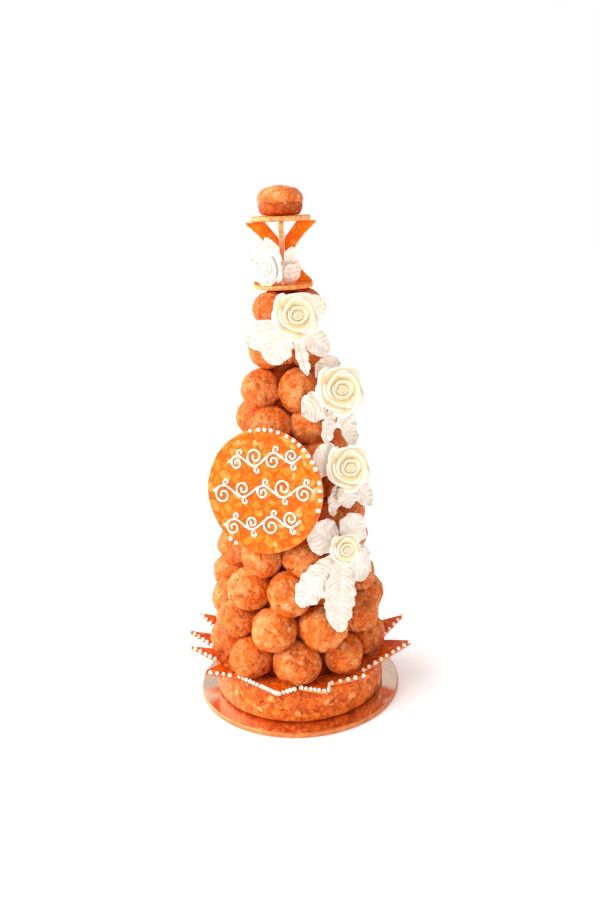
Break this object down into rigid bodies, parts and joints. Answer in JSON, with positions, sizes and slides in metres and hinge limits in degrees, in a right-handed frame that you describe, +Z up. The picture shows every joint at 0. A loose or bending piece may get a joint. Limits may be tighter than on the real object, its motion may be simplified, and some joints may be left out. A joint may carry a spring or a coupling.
{
  "type": "croquembouche",
  "caption": "Tall cone of caramel-glazed choux on a nougatine drum with a pointed crown, a round plaque, sugar roses with leaves and a small finned stand carrying one last chou.",
  "frame": {"origin": "centre of the underside of the round cake board", "axes": "+Z up through the middle of the cone; -Y is the front, where the plaque faces half left and the sprays of roses run down half right; +X is to the viewer's right"},
  "size_m": [0.2312, 0.2247, 0.495],
  "materials": {
    "choux_crust": "baked golden-brown crust with a thin caramel glaze, satin",
    "nougatine": "amber caramel with chopped almonds, glossy and slightly see-through",
    "sugar_paste": "pearly ivory sugar paste, soft sheen",
    "sugar_petal": "ivory sugar paste, cream-yellow in the folds, soft sheen",
    "mirror_board": "mirror-bright cake board"
  },
  "bodies": {
    "root": {"cake_board": "mirror_board", "nougatine_drum": "nougatine", "crown_plate_01": "nougatine", "crown_plate_02": "nougatine", "crown_plate_03": "nougatine", "crown_plate_04": "nougatine", "crown_plate_05": "nougatine", "crown_plate_06": "nougatine", "crown_plate_07": "nougatine", "crown_plate_08": "nougatine", "crown_plate_09": "nougatine", "crown_plate_10": "nougatine", "crown_plate_11": "nougatine", "crown_plate_12": "nougatine", "crown_plate_13": "nougatine", "choux_tier_01": "choux_crust", "choux_tier_02": "choux_crust", "choux_tier_03": "choux_crust", "choux_tier_04": "choux_crust", "choux_tier_05": "choux_crust", "choux_tier_06": "choux_crust", "choux_tier_07": "choux_crust", "choux_tier_08": "choux_crust", "choux_tier_09": "choux_crust", "choux_tier_10": "choux_crust", "choux_tier_11": "choux_crust", "plaque": "nougatine", "rose_1": "sugar_petal", "rose_2": "sugar_petal", "rose_3": "sugar_petal", "rose_4": "sugar_petal", "leaf_01": "sugar_paste", "leaf_02": "sugar_paste", "leaf_03": "sugar_paste", "leaf_04": "sugar_paste", "leaf_05": "sugar_paste", "leaf_06": "sugar_paste", "leaf_07": "sugar_paste", "leaf_08": "sugar_paste", "leaf_09": "sugar_paste", "leaf_10": "sugar_paste", "leaf_11": "sugar_paste", "leaf_12": "sugar_paste", "leaf_13": "sugar_paste", "leaf_14": "sugar_paste", "leaf_15": "sugar_paste", "leaf_16": "sugar_paste", "leaf_17": "sugar_paste", "leaf_18": "sugar_paste", "collar": "nougatine", "fin_1": "nougatine", "fin_2": "nougatine", "fin_3": "nougatine", "fin_4": "nougatine", "top_plate": "nougatine", "crowning_chou": "choux_crust", "top_rose": "sugar_petal", "top_leaf_1": "sugar_paste", "top_leaf_2": "sugar_paste"}
  },
  "joints": []
}
